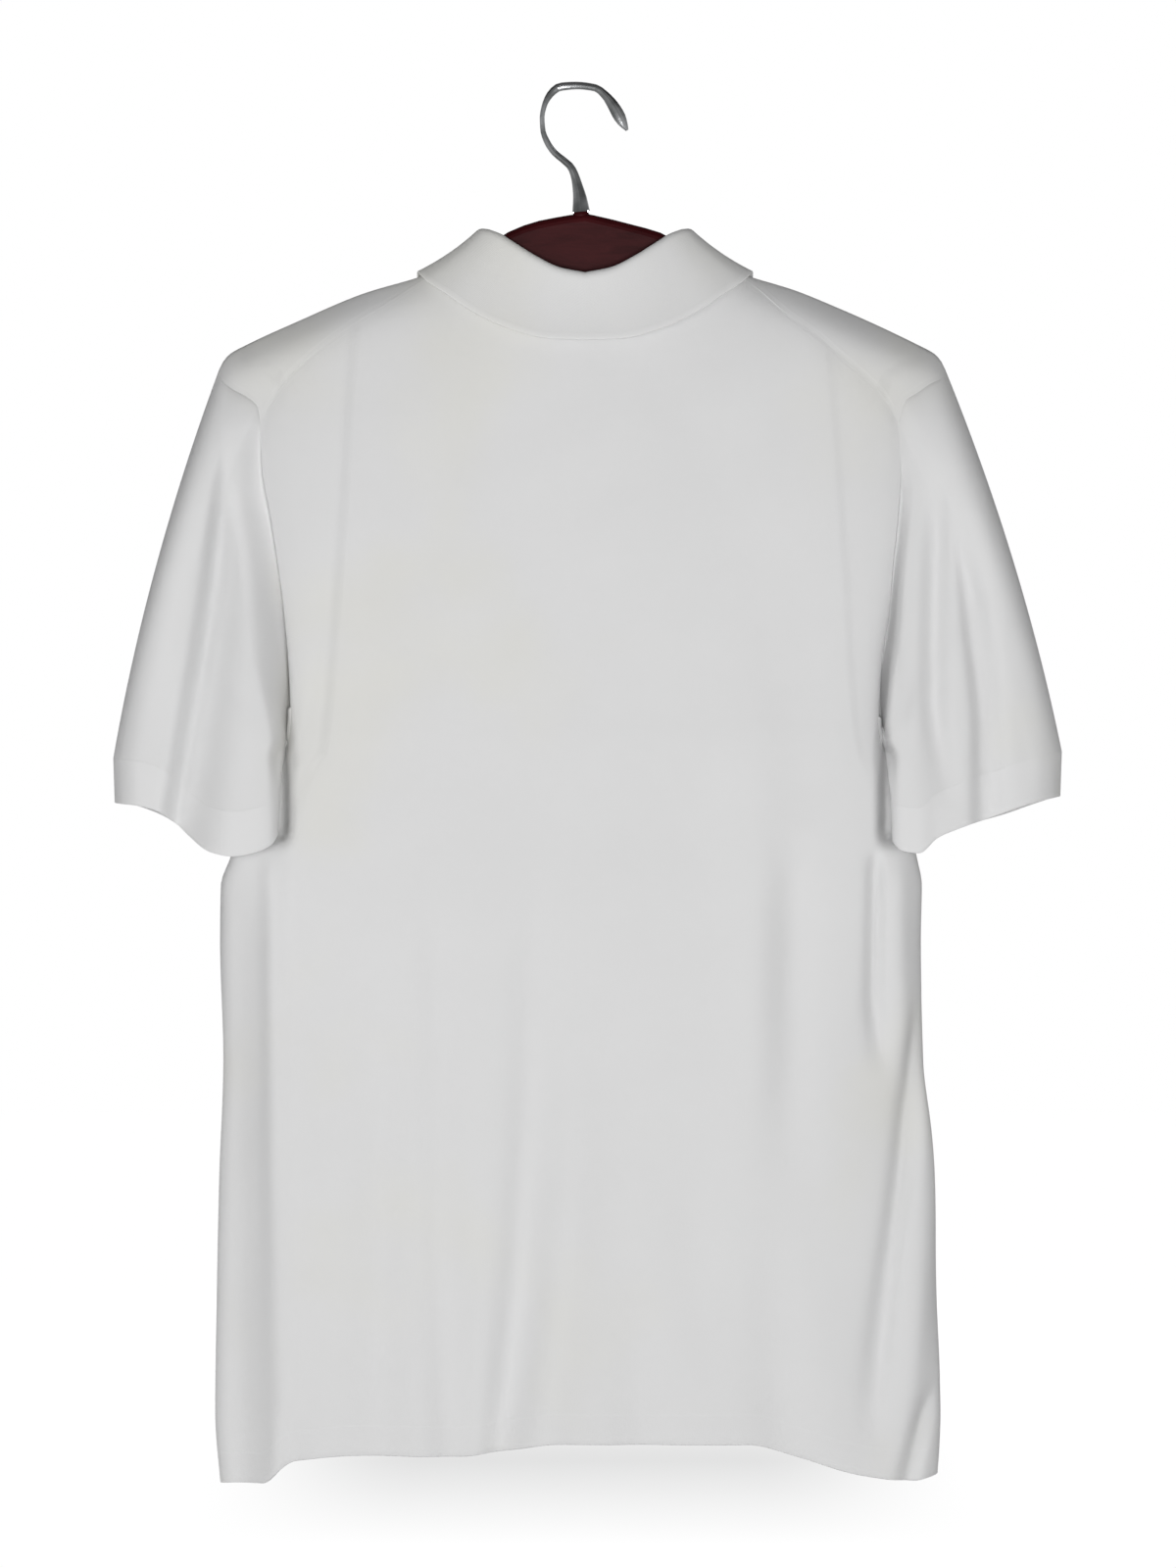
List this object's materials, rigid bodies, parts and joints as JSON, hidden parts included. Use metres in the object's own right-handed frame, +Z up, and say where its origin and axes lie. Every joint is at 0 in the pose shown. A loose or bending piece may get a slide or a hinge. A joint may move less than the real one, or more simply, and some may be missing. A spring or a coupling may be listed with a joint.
{
  "type": "polo shirt on a hanger",
  "caption": "Plain knitted short-sleeved polo shirt with a turned-down collar, hanging flat on a shaped wooden hanger with a swan-neck metal hook.",
  "frame": {"origin": "inner seat of the hanger's hook, where a rail carries it", "axes": "+Z up, +Y out of the shirt's front, +X towards the wearer's right; the picture looks along +Y at the back"},
  "size_m": [0.5808, 0.0838, 0.8571],
  "materials": {
    "knit": "fine matt jersey knit",
    "collar_knit": "matt flat-knitted rib",
    "button": "polished resin",
    "wood": "dark red-brown lacquer",
    "hook_metal": "polished plating"
  },
  "bodies": {
    "root": {"back_panel": "knit", "front_panel": "knit", "sleeve_left": "knit", "sleeve_right": "knit", "cuff_left": "knit", "cuff_right": "knit", "placket": "knit", "collar": "collar_knit", "button_upper": "button", "button_lower": "button", "hanger_wood": "wood", "hanger_hook": "hook_metal"}
  },
  "joints": []
}
